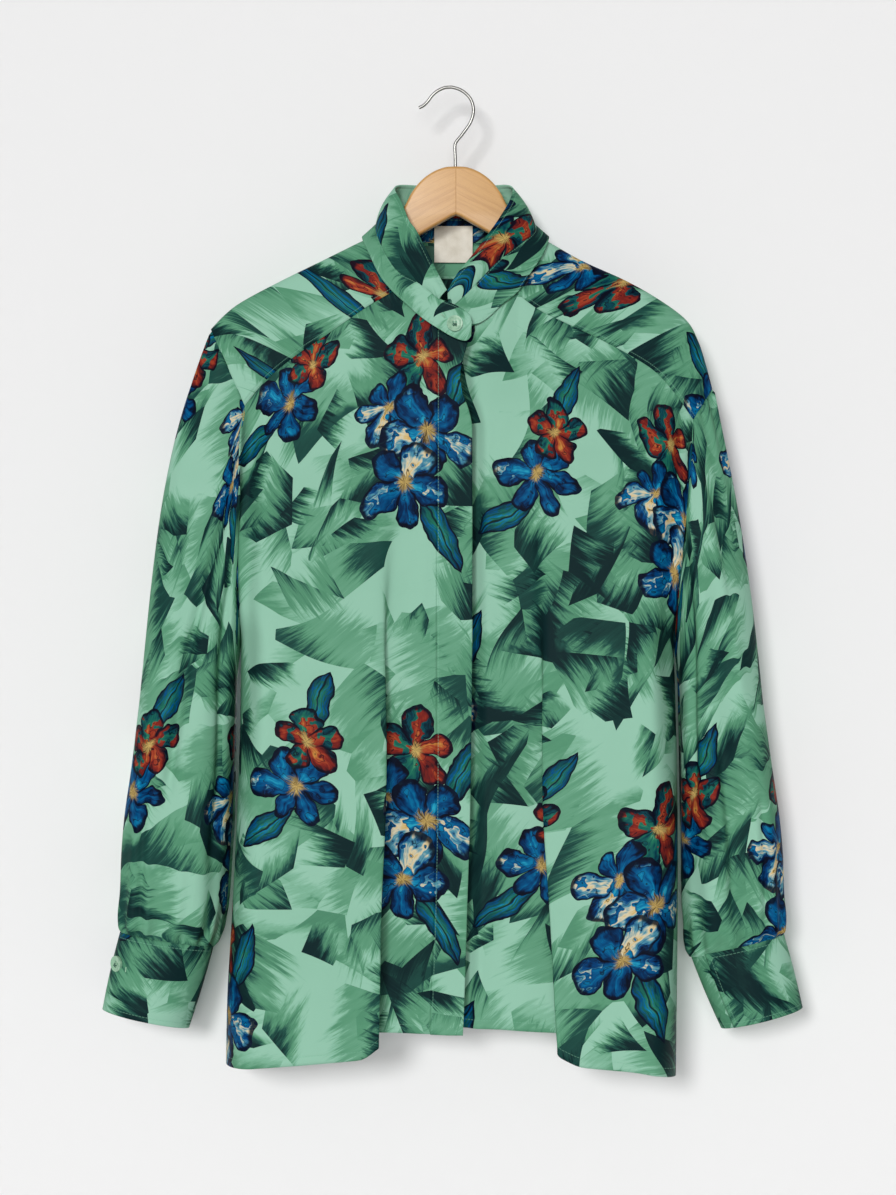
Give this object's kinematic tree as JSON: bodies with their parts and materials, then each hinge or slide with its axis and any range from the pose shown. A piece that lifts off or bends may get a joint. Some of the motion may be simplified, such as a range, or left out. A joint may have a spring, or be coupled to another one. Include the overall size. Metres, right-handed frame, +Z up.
{
  "type": "blouse and hanger",
  "caption": "Long-sleeved silk blouse with a standing buttoned collar, shoulder yoke and cuffs, hanging on a flat wooden hanger with a wire hook.",
  "frame": {"origin": "the inside of the hook's bend, at its highest point, where it rests on a rail or peg", "axes": "+Z up, -Y the front of the blouse, +X towards the wearer's left"},
  "size_m": [0.616, 0.1065, 0.87],
  "materials": {
    "silk": "satin, printed",
    "silk_inside": "satin, printed",
    "label": "woven, matt",
    "button": "polished",
    "beech": "satin lacquer",
    "hook_steel": "polished"
  },
  "bodies": {
    "root": {"front_left": "silk", "front_right": "silk", "front_placket": "silk", "yoke": "silk", "back": "silk", "sleeve_left": "silk", "sleeve_right": "silk", "cuff_left": "silk", "cuff_right": "silk", "collar_stand": "silk", "collar_leaf": "silk", "neck_facing": "silk_inside", "label": "label", "button_collar": "button", "button_cuff_right": "button", "hanger_wood": "beech", "hook": "hook_steel"}
  },
  "joints": []
}
